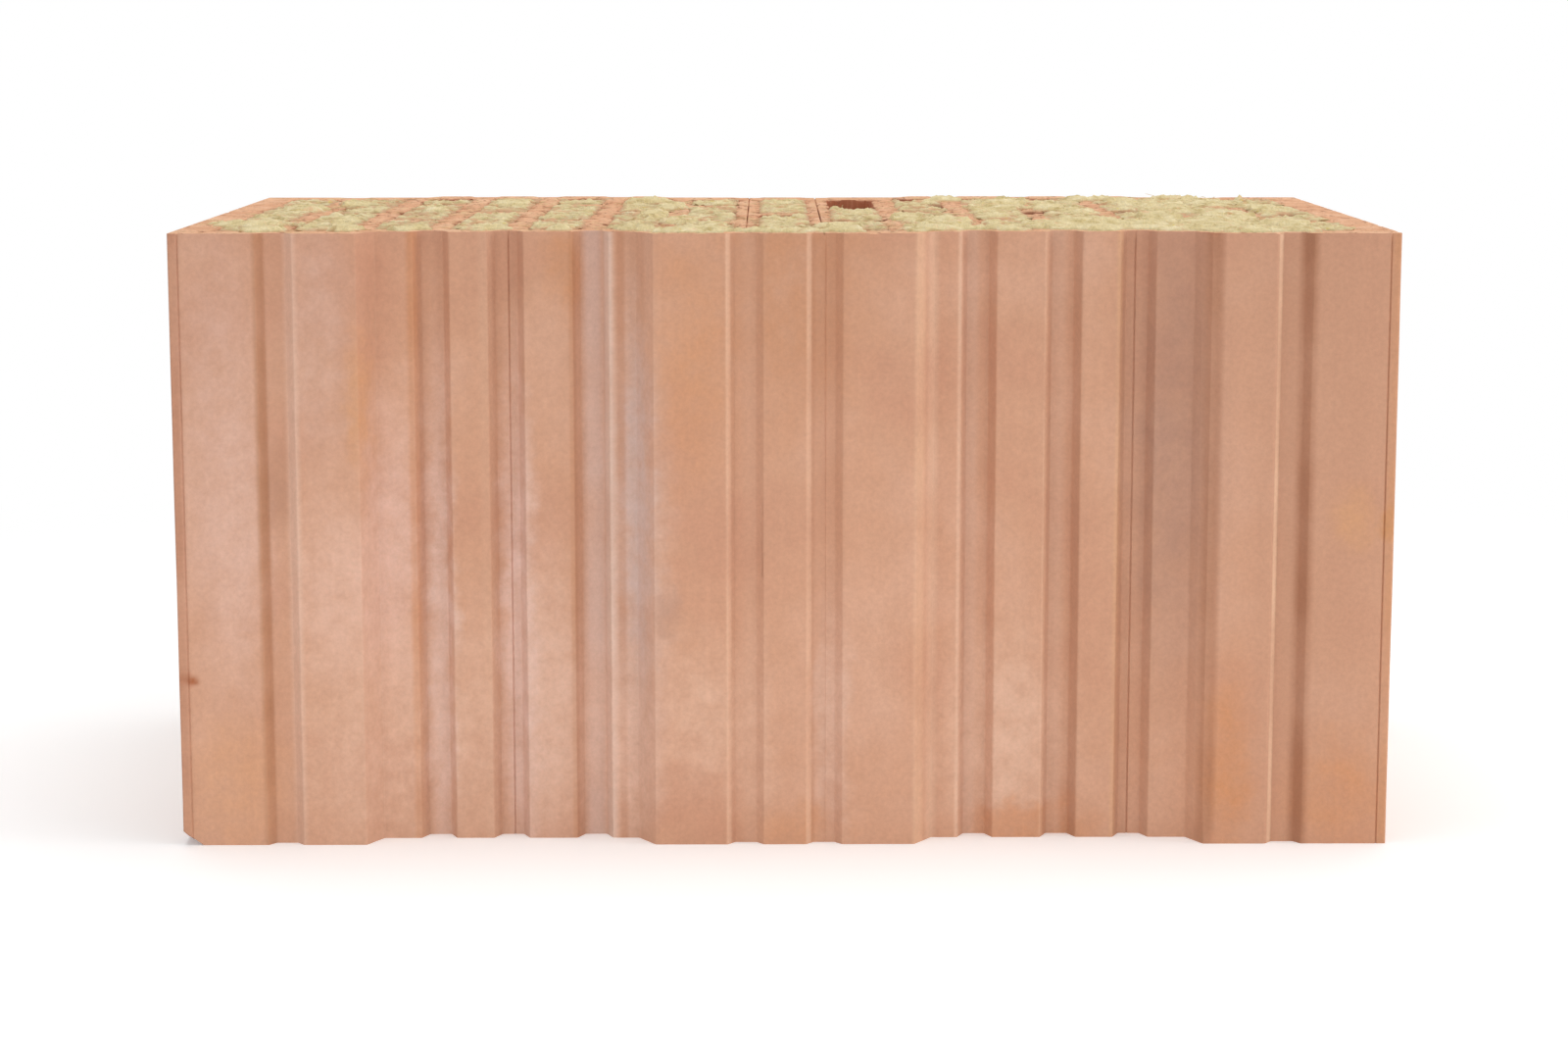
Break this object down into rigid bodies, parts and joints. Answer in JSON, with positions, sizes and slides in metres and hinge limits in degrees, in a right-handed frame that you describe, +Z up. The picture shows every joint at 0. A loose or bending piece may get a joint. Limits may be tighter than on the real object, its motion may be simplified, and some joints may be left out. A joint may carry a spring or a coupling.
{
  "type": "mineral wool filled insulating clay block",
  "caption": "Upright-cored fired clay wall block with ground bed faces, tongue and groove head faces and pressed-in mineral wool slabs.",
  "frame": {"origin": "middle of the lower bed face, on the floor the block stands on", "axes": "+X through the wall (the block's longest side), +Y along the wall from the recessed head face to the tongued one, +Z up between the bed faces"},
  "size_m": [0.49, 0.2578, 0.249],
  "materials": {
    "fired_clay": "matt fired clay, extruded sides, ground bed faces",
    "mineral_wool": "dull fibrous mineral wool"
  },
  "bodies": {
    "root": {"clay_block": "fired_clay", "wool_row_01_back": "mineral_wool", "wool_row_01_front": "mineral_wool", "wool_row_01_middle": "mineral_wool", "wool_row_02_back": "mineral_wool", "wool_row_02_front": "mineral_wool", "wool_row_03_back": "mineral_wool", "wool_row_03_front": "mineral_wool", "wool_row_03_middle": "mineral_wool", "wool_row_04_back": "mineral_wool", "wool_row_04_front": "mineral_wool", "wool_row_05_back": "mineral_wool", "wool_row_05_front": "mineral_wool", "wool_row_05_middle": "mineral_wool", "wool_row_06_back": "mineral_wool", "wool_row_06_front": "mineral_wool", "wool_row_07_back": "mineral_wool", "wool_row_07_front": "mineral_wool", "wool_row_07_middle": "mineral_wool", "wool_row_08_back": "mineral_wool", "wool_row_08_front": "mineral_wool", "wool_row_09_front": "mineral_wool", "wool_row_09_middle": "mineral_wool", "wool_row_10_back": "mineral_wool", "wool_row_10_front": "mineral_wool", "wool_row_11_back": "mineral_wool", "wool_row_11_front": "mineral_wool", "wool_row_11_middle": "mineral_wool", "wool_row_12_back": "mineral_wool", "wool_row_12_front": "mineral_wool", "wool_row_13_back": "mineral_wool", "wool_row_13_front": "mineral_wool", "wool_row_13_middle": "mineral_wool", "wool_row_14_back": "mineral_wool", "wool_row_14_front": "mineral_wool", "wool_row_15_back": "mineral_wool", "wool_row_15_front": "mineral_wool", "wool_row_15_middle": "mineral_wool"}
  },
  "joints": []
}
